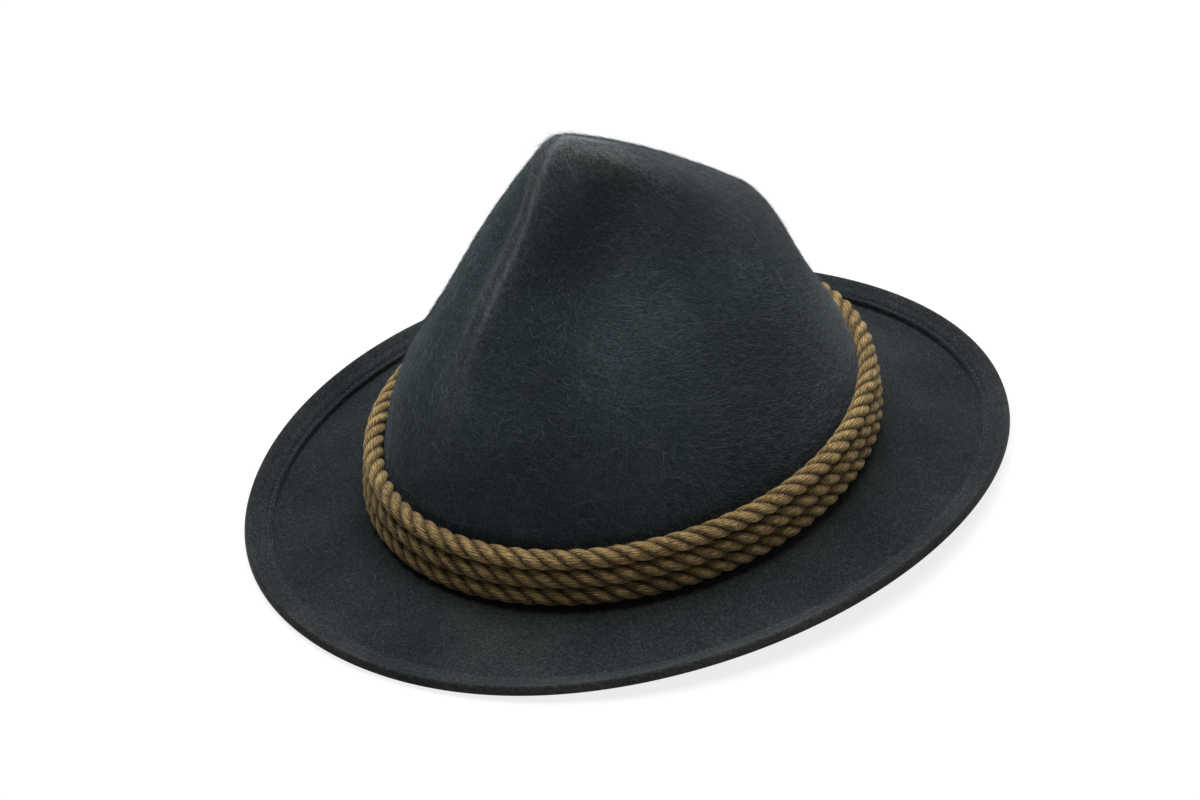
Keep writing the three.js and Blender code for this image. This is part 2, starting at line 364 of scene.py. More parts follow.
def weltProfile():
    # inset and depth pairs: up the cut edge, over the welt with a half wave's rise, round the
    # rim on a squarish arc, and back underneath
    inset = np.linspace(welt["topFrom"], welt["topTo"], welt["topRows"])
    rise = np.sin(np.pi * (inset - welt["topTo"]) / (welt["topFrom"] - welt["topTo"]))
    over = np.stack([inset, weltSink(inset) - welt["rise"] * rise], -1)
    bend = np.radians(np.linspace(welt["rimTurn"], -welt["rimTurn"], welt["rimRows"]))
    power = 2 / welt["rimSquareness"]
    (middleIn, middleDown), reach = welt["rimMiddle"], welt["rimReach"]
    out = np.stack([middleIn - reach * np.cos(bend) ** power,
                    middleDown - reach * np.sign(bend) * np.abs(np.sin(bend)) ** power], -1)
    inset = np.array(welt["underInsets"])
    back = np.stack([inset, welt["underDepth"] - welt["underSink"] * weltSink(inset)], -1)
    return np.concatenate([np.array(welt["cutEdge"]), over, out, back])


def topWeltRows():
    # rows of the welt that are seen from above
    return len(welt["cutEdge"]) + welt["topRows"] + welt["hairyRim"]


def climb(value, start, end):
    # from 0 at the start to 1 at the end, in a straight line
    return np.clip((value - start) / (end - start), 0, 1)


def fadedBrownAndPaintedLight(grid, crownRows):
    # brown of the felt, partly sun-faded felt and partly painted light on the lit ridge and front
    # edge: full on the ridge and less below it, or a bell across the front edge, both times a slope
    # from front to back; the brim and its rim have their own even values
    x, y, z = (grid[:crownRows, :, k] for k in range(3))
    ridge = 1 - climb(ridgeHeight(y) - z, 0, feltWearAndPaintedLight["ridgeBrown"])
    prow = np.exp(-(x / feltWearAndPaintedLight["prowWidth"]) ** 2) * (y < 0) * climb(z, *feltWearAndPaintedLight["prowClimb"])
    ahead = np.clip(feltWearAndPaintedLight["brownMiddle"] - y / feltWearAndPaintedLight["brownRun"], feltWearAndPaintedLight["brownLeast"], 1)
    fadeAndPaintedLight = np.full(grid.shape[:2], feltWearAndPaintedLight["brimBrown"])
    fadeAndPaintedLight[:crownRows] = ahead * np.maximum(ridge ** feltWearAndPaintedLight["ridgeSharpness"],
                                          feltWearAndPaintedLight["prowBrown"] * prow)
    rim = crownRows + feltGrid["brimRows"] + len(welt["cutEdge"]) + welt["topRows"]
    fadeAndPaintedLight[rim:rim + welt["rimRows"]] = feltWearAndPaintedLight["rimBrown"]
    return fadeAndPaintedLight


def paintedEdgeHighlight(grid, crownRows):
    # painted highlight: a narrow bell across the front edge, that ends above the band
    x, y, z = (grid[:crownRows, :, k] for k in range(3))
    edgeHighlight = np.zeros(grid.shape[:2])
    bell = np.exp(-((x - feltWearAndPaintedLight["edgeHighlightMiddle"]) / feltWearAndPaintedLight["edgeHighlightWidth"]) ** 2)
    edgeHighlight[:crownRows] = bell * (y < 0) * climb(z, *feltWearAndPaintedLight["edgeHighlightClimb"])
    return edgeHighlight


def paintedHollowShade(angle, levels):
    # painted shade in the left hollow, from 0 to 1, in the pinches' own formula
    level = levels[:, None]
    flat = crownSurface(angle[None, :], level + 0 * angle[None, :])
    front = alongColumn("front", level) + crown["frontRound"] * tipRounding(level)
    away = np.hypot(flat[..., 0], flat[..., 1] - front)
    below = np.maximum(0, ridgeHeight(flat[..., 1]) - flat[..., 2])
    edge = 1 - np.exp(-(flat[..., 0] / crown["frontEdge"]) ** 2)
    push = np.clip(pinchDepth(feltWearAndPaintedLight["hollow"], away, below) * edge, 0, 1)
    return push ** feltWearAndPaintedLight["hollowSharpness"] * (flat[..., 0] > 0)


def paintedLightPatches(points):
    # painted light and shade: one bell-shaped factor for each patch, all multiplied together
    factor = np.ones(points.shape[:-1])
    for centre, radius, amount in feltWearAndPaintedLight["patches"]:
        away = np.linalg.norm(1000 * toFloor(points) - np.array(centre), axis=-1)
        factor *= 1 + amount * np.exp(-(away / radius) ** 2)
    return factor


def colourLevelAndPaintedLight(grid, levels):
    # share of its light that the felt keeps, with painted light and shade in it. Brim: an even
    # share times painted light in one and two waves round it, and a painted highlight on the welt.
    # Crown: painted shade in the hollow, at the foot and on the ridge's back, times painted patches
    crownRows = len(levels)
    # painted light: the brim is lighter towards the side at lightSide and darker away from it
    side = angles - math.radians(feltWearAndPaintedLight["lightSide"])
    paintedSideLight = 1 + feltWearAndPaintedLight["brimWave"] * (np.cos(side) + np.cos(2 * side))
    shade = feltWearAndPaintedLight["brimShade"] * paintedSideLight * np.ones((len(grid), 1))
    y, z = grid[:crownRows, :, 1], grid[:crownRows, :, 2]
    # painted shade near the ridge, growing towards its back
    nearRidge = 1 - climb(ridgeHeight(y) - z, 0, feltWearAndPaintedLight["backBelow"])
    paintedBackShade = feltWearAndPaintedLight["backShade"] * nearRidge * climb(y, *feltWearAndPaintedLight["backClimb"])
    # painted shade at the foot of the crown, under the band
    foot = feltWearAndPaintedLight["footShade"] * np.exp(-(z / feltWearAndPaintedLight["footHeight"]) ** 2)
    # painted shade in the left hollow
    hollow = feltWearAndPaintedLight["hollowShade"] * paintedHollowShade(angles, levels)
    shade[:crownRows] = (1 - hollow) * (1 - foot) * (1 - paintedBackShade) * paintedLightPatches(grid[:crownRows])
    # painted highlight: the top of the welt is made lighter
    weltStart = crownRows + feltGrid["brimRows"]
    shade[weltStart:weltStart + topWeltRows()] *= feltWearAndPaintedLight["weltLight"]
    return shade


def keepNap(piece, grid, crownRows, used):
    # height along the skin and a turn whose radius is divided by the stretch, so that noise
    # runs in hairs; each lay leans its own way, and the brim's noise starts elsewhere
    count, around = grid.shape[:2]
    height = np.zeros((count, around))
    height[1:] = np.cumsum(np.linalg.norm(np.diff(grid, axis=0), axis=-1), axis=0)
    theta = np.broadcast_to(angles, (count, around))
    onBrim = np.zeros((count, 1))
    onBrim[crownRows:count - feltGrid["innerRows"]] = 1
    for name, lean, stretch in feltNap["lays"]:
        swing = theta + lean * height * np.cos(0.5 * theta) ** 2
        radius = feltNap["radius"] / (stretch * (1 - onBrim) + feltNap["brimStretch"] * onBrim)
        nap = np.stack([radius * np.cos(swing), radius * np.sin(swing),
                        height + feltNap["brimOffset"] * onBrim], -1)
        keepValues(piece, name, nap.reshape(-1, 3)[used])


def buildFelt():
    # rings from the ridge down the outside, out over the brim, round the rim and back inside
    rows = []
    outerLevels = levelRows(feltGrid["crownRows"])
    rows += [crownSurface(angles, np.full_like(angles, level)) for level in outerLevels]
    rows += [brimSheet(angles, np.full_like(angles, s), False)
             for s in np.linspace(feltGrid["firstStep"], 1, feltGrid["brimRows"])]
    rows += [foldPoint(angles, np.full_like(angles, inset), np.full_like(angles, depth))
             for inset, depth in weltProfile()]
    rows += [brimSheet(angles, np.full_like(angles, s), True)
             for s in np.linspace(1, feltGrid["firstStep"], feltGrid["underRows"])]
    rows += [crownInside(angles, np.full_like(angles, level))
             for level in levelRows(feltGrid["innerRows"])[::-1]]
    grid = np.stack(rows)
    count, around = grid.shape[:2]
    index = np.arange(count * around).reshape(count, around)
    mirrored = np.minimum(np.arange(around), (around - np.arange(around)) % around)
    index[0], index[-1] = index[0][mirrored], index[-1][mirrored]   # both sides meet on the ridge
    quads = index.ravel()[gridQuads(count, around)].reshape(-1, 4)
    used, packed = np.unique(quads, return_inverse=True)
    body = makeMesh("felt_hat", toFloor(grid.reshape(-1, 3)[used]), packed.reshape(-1, 4))
    crownRows = len(outerLevels)
    keepNap(body, grid, crownRows, used)
    keepValues(body, "fadeAndPaintedLight", fadedBrownAndPaintedLight(grid, crownRows).ravel()[used])
    keepValues(body, "edgeHighlight", paintedEdgeHighlight(grid, crownRows).ravel()[used])
    keepValues(body, "shade", colourLevelAndPaintedLight(grid, outerLevels).ravel()[used])
    brimEnd = crownRows + feltGrid["brimRows"] + topWeltRows()
    return body, grid[:crownRows], grid[crownRows:brimEnd]


feltHat, crownGrid, brimGrid = buildFelt()
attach(feltHat, "root")
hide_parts("felt_body")
print("felt body:", len(feltHat.data.polygons), "faces")

# Loose hair on the felt.
fuzz = {
    "thickness": 0.048, "sink": 0.12,   # mm, radius of a root and how deep it stands
    "lengthSpread": 0.35, "riseSpread": 0.5,
    "swirlWaves": (21, 6, 0.02, 0.08), "swirl": 0.45, "drift": 0.35,
    "kinds": [  # name, where, hairs, middle length, spread of heading, rise, brightest tone
        ("crown_hair", "crown", 38000, 4.2, 0.35, 0.1, 0.76),
        ("crown_hair_under", "crown", 38000, 2.52, 0.6, 0.14, 0.7),
        ("crown_long_hair", "crown", 15000, 8.0, 0.75, 0.055, 0.96),
        ("brim_hair", "brim", 24000, 2.6, 1.6, 0.06, 0.5),
    ],
    "tones": [(0.0055, 0.0095, 0.012), (0.028, 0.041, 0.048), (0.14, 0.17, 0.185)],
    "roughness": 0.6, "gloss": 0.3, "sheen": 0.2,
}


def scatter(grid, count):
    # random places on a grid by area, corner + u * across + v * down, each with its directions
    # round and down the grid and outwards
    here, below = grid[:-1], grid[1:]
    beside = np.roll(here, -1, axis=1)
    across, down = beside - here, below - here
    normal = np.cross(down, across)
    area = np.linalg.norm(normal, axis=-1)
    cell = rng.choice(area.size, count, p=(area / area.sum()).ravel())
    u, v = rng.random((2, count, 1))
    chosen = [part.reshape(-1, 3)[cell] for part in (here, across, down, normal)]
    place = chosen[0] + chosen[1] * u + chosen[2] * v
    return place, *(unit(part) for part in chosen[1:])


def growHair(name, place, heading, outward, length, rise, tone, look, material):
    # each hair is a thin three-sided spike: its tip lies along the heading and a little up,
    # its root is sunk, and it keeps one tone from root to tip
    tip = place + heading * length[:, None] + outward * (length * rise)[:, None]
    aside = unit(np.cross(heading, outward))
    root = place - outward * look["sink"]
    corners = [root + look["thickness"] * (aside * math.cos(k) + outward * math.sin(k))
               for k in (math.pi / 2, math.pi * 7 / 6, math.pi * 11 / 6)]
    points = np.stack([*corners, tip], 1)
    first = 4 * np.arange(len(place))[:, None]
    faces = ((0, 3, 1), (1, 3, 2), (2, 3, 0), (0, 1, 2))   # all outwards
    tris = np.concatenate([first + np.array(face) for face in faces])
    piece = makeMesh(name, toFloor(points.reshape(-1, 3)), tris=tris)
    keepValues(piece, "tone", np.repeat(tone, 4))
    piece.data.materials.append(material)
    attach(piece, "root")


def flowHeading(place, around, down, spread):
    # mostly round the head, turned by slow swirls and by its own random angle
    theta = np.arctan2(place[:, 0], -place[:, 1])
    slow = fuzz["swirl"] * softWaves(theta, place[:, 2], *fuzz["swirlWaves"])
    swirl = fuzz["drift"] + slow + spread * rng.normal(size=len(place))
    return around * np.cos(swirl)[:, None] + down * np.sin(swirl)[:, None]


def growFeltHair(material):
    # length and rise of each hair: a middle value times a bell-curve power
    for name, where, count, middle, spread, rise, brightest in fuzz["kinds"]:
        place, around, down, outward = scatter(crownGrid if where == "crown" else brimGrid, count)
        heading = flowHeading(place, around, down, spread)
        length = middle * np.exp(fuzz["lengthSpread"] * rng.normal(size=count))
        lift = rise * np.exp(fuzz["riseSpread"] * rng.normal(size=count))
        # the tones carry the painted light and shade of the patches too
        tone = np.clip(rng.random(count) * brightest * np.sqrt(paintedLightPatches(place)), 0, 1)
        growHair(name, place, heading, outward, length, lift, tone, fuzz, material)


# Sewing on the turned-over edge.
stitch = {  # mm
    "spacing": 3.1, "length": 2.1, "radius": 0.24, "rings": 5, "sides": 5,
    "lift": 0.02, "arch": 0.16,   # how far its ends stand out, and its middle above them
    "taper": 0.98,                # 1 would close the ends to a point
    "lineSteps": 3001,
    "tones": [(0.006, 0.010, 0.012), (0.014, 0.020, 0.024), (0.028, 0.036, 0.041)],
    "roughness": 0.7, "gloss": 0.3, "sheen": 0.1,
}


def runAlong(line):
    # length of the line from its start to each of its points
    return np.concatenate([[0], np.cumsum(np.linalg.norm(np.diff(line, axis=0), axis=1))])


def ringsRound(centre, radius, first, second, sides):
    # circles: centre + radius * (cos v * first + sin v * second), with v in even steps
    v = (2 * np.pi * np.arange(sides) / sides)[:, None]
    spoke = np.cos(v) * first[..., None, :] + np.sin(v) * second[..., None, :]
    return centre[..., None, :] + radius[..., None] * spoke


def sewRow(name, inset, depthAt, side, material):
    # a row of small closed capsules, half sunk in the groove, evenly spaced by length: rings
    # on a shallow parabola, with a radius that follows a half ellipse
    dense = np.linspace(0, 2 * np.pi, stitch["lineSteps"])
    run = runAlong(foldPoint(dense, np.full_like(dense, inset), np.full_like(dense, depthAt)))
    count = int(run[-1] / stitch["spacing"])
    middle = np.interp((np.arange(count) + 0.5) * run[-1] / count, run, dense)
    t = np.linspace(-1, 1, stitch["rings"])
    speed = np.interp(middle, dense, np.gradient(run, dense))
    theta = middle[:, None] + t * 0.5 * stitch["length"] / speed[:, None]
    _, along, down = rimFrame(theta)
    centre = foldPoint(theta, np.full_like(theta, inset), np.full_like(theta, depthAt))
    height = stitch["lift"] + stitch["arch"] * (1 - t ** 2)
    centre = centre - side * down * height[None, :, None]
    radius = stitch["radius"] * np.sqrt(1 - (stitch["taper"] * t) ** 2)
    ring = ringsRound(centre, radius[None, :, None], along, down, stitch["sides"])
    per = stitch["rings"] * stitch["sides"]
    points = np.concatenate([ring.reshape(count, per, 3), centre[:, :1], centre[:, -1:]], 1)
    body = gridQuads(stitch["rings"], stitch["sides"], turned=True).reshape(-1, 4)
    around = np.arange(stitch["sides"])
    nextOne = (around + 1) % stitch["sides"]
    last = per - stitch["sides"]
    caps = np.concatenate([
        np.stack([np.full_like(around, per), nextOne, around], -1),
        np.stack([np.full_like(around, per + 1), last + around, last + nextOne], -1)])
    first = (per + 2) * np.arange(count)[:, None, None]
    piece = makeMesh(name, toFloor(points.reshape(-1, 3)), body + first, caps + first)
    keepValues(piece, "tone", np.repeat(rng.random(count), per + 2))
    piece.data.materials.append(material)
    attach(piece, "root")


# Twisted cords.
cord = {  # mm
    "ringRadius": 3.75, "gap": 0.35, "fromFelt": 0.5, "aboveFoot": 0.15,   # as the CAD rings lie
    "crownHeight": 150, "passes": 6,                    # first guess and how often it's corrected
    "strandRadius": 2.24, "strandReach": 1.73,          # strand, and its middle from the cord's
    "turns": 26, "rowTurn": 1.3,                        # radians each row starts further round
    "steps": 560, "sides": 18, "lineSteps": 4001,
    "lumps": 6, "lumpRelief": 0.09, "yarnTurns": 46,
    "swell": 0.03, "swells": 31,                        # share of the radius, and how many round
    "grooveShading": (2.45, 3.95),                          # from the cord's middle: groove and crest of the painted groove shade
    "layRadius": 1.6, "layStretch": 5, "layOffset": 40,
}


def cordLine(angle, row):
    # just outside the felt, at one height above the foot of the crown: level = height / (ridge -
    # foot), refined in turns. Outwards: the foot's half length * sine, its half width * -cosine
    rowHeight = 2 * cord["ringRadius"] + cord["gap"]
    height = cord["ringRadius"] + cord["fromFelt"] + cord["aboveFoot"] + row * rowHeight
    level = np.full_like(angle, height / cord["crownHeight"])
    for _ in range(cord["passes"]):
        y = crownSurface(angle, level)[..., 1]
        level = height / (ridgeHeight(y) - waves(crown["foot"], angle))
    outward = unit(np.stack([crown["back"][0] * np.sin(angle),
                             -crown["halfWidth"][0] * np.cos(angle), 0 * angle], -1))
    return crownSurface(angle, level) + outward * (cord["ringRadius"] + cord["fromFelt"]), outward


def stepsAhead(line):
    # direction of a closed line at each point, from the point before to the one after
    return unit(np.roll(line, -1, axis=0) - np.roll(line, 1, axis=0))


def evenLine(row):
    # the cord's middle line at equal steps of its length, with its outward direction
    dense = np.linspace(0, 2 * np.pi, cord["lineSteps"])
    line, outward = cordLine(dense, row)
    run = runAlong(line)
    at = np.linspace(0, run[-1], cord["steps"] + 1)[:-1]
    pick = lambda values: np.stack([np.interp(at, run, values[:, k]) for k in range(3)], -1)
    line, outward = pick(line), pick(outward)
    ahead = stepsAhead(line)
    upward = unit(np.cross(outward, ahead))
    return line, np.cross(ahead, upward), upward, at, run[-1]


def buildCord(name, row, material):
    # three strands wound round the middle line; each strand is a tube with yarn ridges, which
    # are a cosine of the yarns' turn, and with a slow swell, a sine of the length
    line, outward, upward, at, length = evenLine(row)
    points, quads, lay, depth = [], [], [], []
    steps, sides = cord["steps"], cord["sides"]
    whole = 2 * np.pi * at / length
    for strand in range(3):
        wind = cord["turns"] * whole + 2 * np.pi * strand / 3 + cord["rowTurn"] * row
        away = outward * np.cos(wind)[:, None] - upward * np.sin(wind)[:, None]
        middle = line + away * cord["strandReach"]
        forward = stepsAhead(middle)
        side = unit(np.cross(forward, away))
        v = 2 * np.pi * np.arange(sides) / sides
        yarnTurn = v[None, :] + cord["yarnTurns"] * whole[:, None]
        ridge = 0.5 + 0.5 * np.cos(cord["lumps"] * yarnTurn)
        swell = 1 + cord["swell"] * np.sin(cord["swells"] * whole + 2 * strand + row)[:, None]
        radius = cord["strandRadius"] * swell - cord["lumpRelief"] * (1 - ridge)
        ring = ringsRound(middle, radius, np.cross(side, forward), side, sides)
        points.append(ring.reshape(-1, 3))
        tube = gridQuads(steps, sides, True, turned=True).reshape(-1, 4)
        quads.append(tube + strand * steps * sides)
        runOn = at[:, None] / cord["layStretch"] + cord["layOffset"] * strand + 0 * yarnTurn
        fibre = np.stack([cord["layRadius"] * np.cos(yarnTurn),
                          cord["layRadius"] * np.sin(yarnTurn), runOn], -1)
        lay.append(fibre.reshape(-1, 3))
        # painted shade in the grooves between strands: 0 in a groove, 1 on a crest
        reach = np.linalg.norm(ring - line[:, None], axis=-1)
        depth.append(climb(reach, *cord["grooveShading"]).ravel())
    piece = makeMesh(name, toFloor(np.concatenate(points)), np.concatenate(quads))
    keepValues(piece, "lay", np.concatenate(lay))
    keepValues(piece, "grooveShading", np.concatenate(depth))
    piece.data.materials.append(material)
    return piece, [part.reshape(steps, sides, 3) for part in points]


# Material helpers.
coatInputs = {
    "roughness": "Roughness", "gloss": "Specular IOR Level", "sheen": "Sheen Weight",
    "sheenRoughness": "Sheen Roughness", "sheenTint": "Sheen Tint",
}
toneStops = (0.0, 0.6, 1.0)   # of the hairs' tones: most are dark


def addNode(tree, kind, **settings):
    # a node with its own settings
    node = tree.nodes.new(kind)
    for key, value in settings.items():
        setattr(node, key, value)
    return node


def feed(tree, value, socket):
    # a number or a colour goes straight in, and another node's output through a link
    if isinstance(value, tuple):
        socket.default_value = (*value, 1)
    elif isinstance(value, (int, float)):
        socket.default_value = value
    else:
        tree.links.new(value, socket)


def newMaterial(name):
    # an empty material, its nodes and its surface
    material = bpy.data.materials.new(name)
    material.use_nodes = True
    tree = material.node_tree
    return material, tree, tree.nodes["Principled BSDF"]


def coat(shader, look):
    # how rough, glossy and downy the surface is, as far as its look says so
    for key, name in coatInputs.items():
        if key in look:
            shader.inputs[name].default_value = look[key]


def readKept(tree, name, output="Fac"):
    # a number or a vector that keepValues has kept at the vertices
    return addNode(tree, "ShaderNodeAttribute", attribute_name=name).outputs[output]


def noiseOn(tree, vector, scale, detail, roughness):
    # soft noise between 0 and 1, finer with a larger scale
    node = addNode(tree, "ShaderNodeTexNoise", noise_dimensions="3D")
    for name, value in (("Vector", vector), ("Scale", scale), ("Detail", detail),
                        ("Roughness", roughness)):
        feed(tree, value, node.inputs[name])
    return node.outputs["Fac"]


def colourRamp(tree, value, positions, colours):
    # straight from one colour to the next between their positions
    node = addNode(tree, "ShaderNodeValToRGB")
    ramp = node.color_ramp
    for k in (0, -1):
        ramp.elements[k].position, ramp.elements[k].color = positions[k], (*colours[k], 1)
    for position, colour in zip(positions[1:-1], colours[1:-1]):
        ramp.elements.new(position).color = (*colour, 1)
    feed(tree, value, node.inputs["Fac"])
    return node.outputs["Color"]


def calculate(tree, operation, a, b=None, c=None, clamp=False):
    # one step of arithmetic on numbers and on other nodes' outputs
    node = addNode(tree, "ShaderNodeMath", operation=operation, use_clamp=clamp)
    for socket, value in zip(node.inputs, (a, b, c)):
        if value is not None:
            feed(tree, value, socket)
    return node.outputs[0]


def mixColour(tree, amount, a, b):
    # (1 - amount) * a + amount * b
    node = addNode(tree, "ShaderNodeMix", data_type="RGBA")
    for place, value in ((0, amount), (6, a), (7, b)):
        feed(tree, value, node.inputs[place])
    return node.outputs[2]


def bumpFrom(tree, height, look):
    # the height's slope, as if it were relief
    node = addNode(tree, "ShaderNodeBump")
    for name, value in (("Strength", look["bump"]), ("Distance", look["bumpDepth"]),
                        ("Height", height)):
        feed(tree, value, node.inputs[name])
    return node.outputs["Normal"]


def shaded(colour, share):
    # every part of the colour times the share
    return tuple(share * part for part in colour)


def makeHairMaterial(name, look, share=1.0):
    # each hair's own tone picks its colour; the share darkens them all, on a cord as painted shade
    material, tree, shader = newMaterial(name)
    colours = [shaded(tone, share) for tone in look["tones"]]
    colour = colourRamp(tree, readKept(tree, "tone"), toneStops, colours)
    tree.links.new(colour, shader.inputs["Base Color"])
    coat(shader, look)
    return material


# Felt finish.
feltLook = {
    "dark": (0.0034, 0.0065, 0.008), "middle": (0.0148, 0.0234, 0.0275),
    "light": (0.068, 0.088, 0.094),
    "stops": (0.34, 0.5, 0.68),               # where on the ramp dark, middle and light lie
    "brown": (0.053, 0.052, 0.0505), "brownAmount": 0.95, "brownPatches": 1.9,
    "brownShares": (0.3, 1.0, 2.2),           # of the brown, along the same ramp
    # painted highlight along the front edge
    "edgeHighlightColour": (0.13, 0.14, 0.14), "edgeHighlightAmount": 1.0,
    # each lay: name, scale of its noise, share of the sum
    "lays": [("nap", 3.0, 0.25), ("napCross", 2.4, 0.21), ("napBack", 2.7, 0.18)],
    "hairDetail": (3, 0.65),
    "speckScale": 1500.0, "speckDetail": (2, 0.6),
    "patchScale": 22.0, "patchDetail": (4, 0.55),
    "grainScale": 900.0, "grain": 0.75, "mostGrain": 0.5,
    "speckShare": 0.36, "patchShare": 0.22, "lower": 0.11,
    "bump": 0.4, "bumpDepth": 0.0005, "roughness": 0.92, "gloss": 0.12,
    "sheen": 0.12, "sheenRoughness": 0.4, "sheenTint": (0.42, 0.52, 0.56, 1),
}


def makeFeltMaterial(name, look):
    # share * noise summed up: three lays of stretched noise for hairs, specks, slow patches
    # and, where the felt has faded, grain. The sum picks the colour and its brown, partly faded
    # felt and partly painted light; the painted highlight lies over both, and the shade, with its
    # painted light and shade, takes its share of all
    material, tree, shader = newMaterial(name)
    place = addNode(tree, "ShaderNodeTexCoord").outputs["Object"]
    patches = noiseOn(tree, place, look["patchScale"], *look["patchDetail"])
    specks = noiseOn(tree, place, look["speckScale"], *look["speckDetail"])
    layers = [(specks, look["speckShare"]), (patches, look["patchShare"])]
    for kept, scale, share in look["lays"]:
        lay = readKept(tree, kept, "Vector")
        layers.append((noiseOn(tree, lay, scale, *look["hairDetail"]), share))
    fibre = -look["lower"]
    for noise, share in layers:
        fibre = calculate(tree, "MULTIPLY_ADD", noise, share, fibre)
    fadeAndPaintedLight = readKept(tree, "fadeAndPaintedLight")
    grain = noiseOn(tree, place, look["grainScale"], *look["speckDetail"])
    grain = calculate(tree, "MULTIPLY", calculate(tree, "SUBTRACT", grain, 0.5),
                      calculate(tree, "MINIMUM", fadeAndPaintedLight, look["mostGrain"]))
    fibre = calculate(tree, "MULTIPLY_ADD", grain, look["grain"], fibre)
    colour = colourRamp(tree, fibre, look["stops"], [look["dark"], look["middle"], look["light"]])
    brown = [shaded(look["brown"], share) for share in look["brownShares"]]
    patchy = calculate(tree, "MULTIPLY", patches, look["brownPatches"] * look["brownAmount"])
    fadeAndPaintedLightAmount = calculate(tree, "MULTIPLY", fadeAndPaintedLight, patchy, clamp=True)
    colour = mixColour(tree, fadeAndPaintedLightAmount, colour, colourRamp(tree, fibre, look["stops"], brown))
    # painted highlight along the front edge, over the colour and its brown
    edgeHighlightAmount = calculate(tree, "MULTIPLY", readKept(tree, "edgeHighlight"), fibre)
    edgeHighlightAmount = calculate(tree, "MULTIPLY", edgeHighlightAmount, look["edgeHighlightAmount"])
    colour = mixColour(tree, edgeHighlightAmount, colour, look["edgeHighlightColour"])
    # the shade, with its painted light and shade, scales the colour
    scaled = addNode(tree, "ShaderNodeVectorMath", operation="SCALE")
    tree.links.new(colour, scaled.inputs["Vector"])
    tree.links.new(readKept(tree, "shade"), scaled.inputs["Scale"])
    tree.links.new(scaled.outputs["Vector"], shader.inputs["Base Color"])
    tree.links.new(bumpFrom(tree, fibre, look), shader.inputs["Normal"])
    coat(shader, look)
    return material


feltHat.data.materials.append(makeFeltMaterial("felt", feltLook))
growFeltHair(makeHairMaterial("felt hair", fuzz))
threadMaterial = makeHairMaterial("sewing thread", stitch)
sewRow("stitches_top", brim["seamIn"], brim["seamDepth"], 1, threadMaterial)
underSeam = welt["underDepth"] - welt["underSink"] * brim["seamDepth"]
sewRow("stitches_under", brim["seamIn"], underSeam, -1, threadMaterial)
print("hair and sewing")

# Cord finish.
cordLook = {
    # the dark end of the ramp is also the painted shade in the grooves
    "darkAndGrooveShade": (0.016, 0.0065, 0.003), "middle": (0.125, 0.078, 0.027),
    "light": (0.42, 0.29, 0.115), "stops": (0.22, 0.5, 0.78),
    "rowPaintedShade": [0.77, 0.82, 0.98],   # bottom, middle, top: painted shade, darker on the lower rows
    "hairScale": 2.6, "hairDetail": (3, 0.65), "patchScale": 120, "patchDetail": (3, 0.5),
    "yarns": 12.0, "yarnShare": 0.07,
    "hairShare": 1.1, "patchShare": 0.3, "grooveShadingShare": 0.5, "lower": 0.58,
    "bump": 0.9, "bumpDepth": 0.0006, "roughness": 0.85, "gloss": 0.2,
    "sheen": 0.25, "sheenRoughness": 0.45, "sheenTint": (0.8, 0.65, 0.4, 1),
}

cordHair = {
    "count": 12000, "thickness": 0.055, "sink": 0.12, "slant": 0.9,
    "length": 2.1, "lengthSpread": 0.4, "rise": 0.5, "riseSpread": 0.5,
    "tones": [(0.07, 0.045, 0.019), (0.22, 0.155, 0.07), (0.44, 0.33, 0.17)],
    "roughness": 0.6, "gloss": 0.3, "sheen": 0.2,
}


def makeCordMaterial(name, look, share):
    # share * noise summed up: stretched noise along the yarns with a cosine for each yarn, and
    # slow patches; painted shade, darker the nearer a place is to the cord's middle line, so in the
    # grooves between strands. The share is the row's painted shade
    material, tree, shader = newMaterial(name)
    lay = readKept(tree, "lay", "Vector")
    place = addNode(tree, "ShaderNodeTexCoord").outputs["Object"]
    hairs = noiseOn(tree, lay, look["hairScale"], *look["hairDetail"])
    patches = noiseOn(tree, place, look["patchScale"], *look["patchDetail"])
    split = addNode(tree, "ShaderNodeSeparateXYZ")
    tree.links.new(lay, split.inputs["Vector"])
    yarnAngle = calculate(tree, "ARCTAN2", split.outputs["Y"], split.outputs["X"])
    yarns = calculate(tree, "COSINE", calculate(tree, "MULTIPLY", yarnAngle, look["yarns"]))
    hairs = calculate(tree, "MULTIPLY_ADD", yarns, look["yarnShare"], hairs)
    value = calculate(tree, "MULTIPLY_ADD", hairs, look["hairShare"], -look["lower"])
    value = calculate(tree, "MULTIPLY_ADD", patches, look["patchShare"], value)
    value = calculate(tree, "MULTIPLY_ADD", readKept(tree, "grooveShading"), look["grooveShadingShare"], value)
    colours = [shaded(look[key], share) for key in ("darkAndGrooveShade", "middle", "light")]
    colour = colourRamp(tree, value, look["stops"], colours)
    tree.links.new(colour, shader.inputs["Base Color"])
    tree.links.new(bumpFrom(tree, hairs, look), shader.inputs["Normal"])
    coat(shader, look)
    return material


def growCordHair(name, strands, material):
    # short hairs that leave each strand mostly along its run; their length and rise are a
    # middle value times a bell-curve power
    parts = [scatter(strand, cordHair["count"] // 3) for strand in strands]
    place, around, down, outward = (np.concatenate([part[k] for part in parts]) for k in range(4))
    count = len(place)
    slant = cordHair["slant"] * rng.normal(size=count)[:, None]
    heading = down * np.cos(slant) + around * np.sin(slant)
    length = cordHair["length"] * np.exp(cordHair["lengthSpread"] * rng.normal(size=count))
    lift = cordHair["rise"] * np.exp(cordHair["riseSpread"] * rng.normal(size=count))
    tone = rng.random(count)
    growHair(name, place, heading, outward, length, lift, tone, cordHair, material)


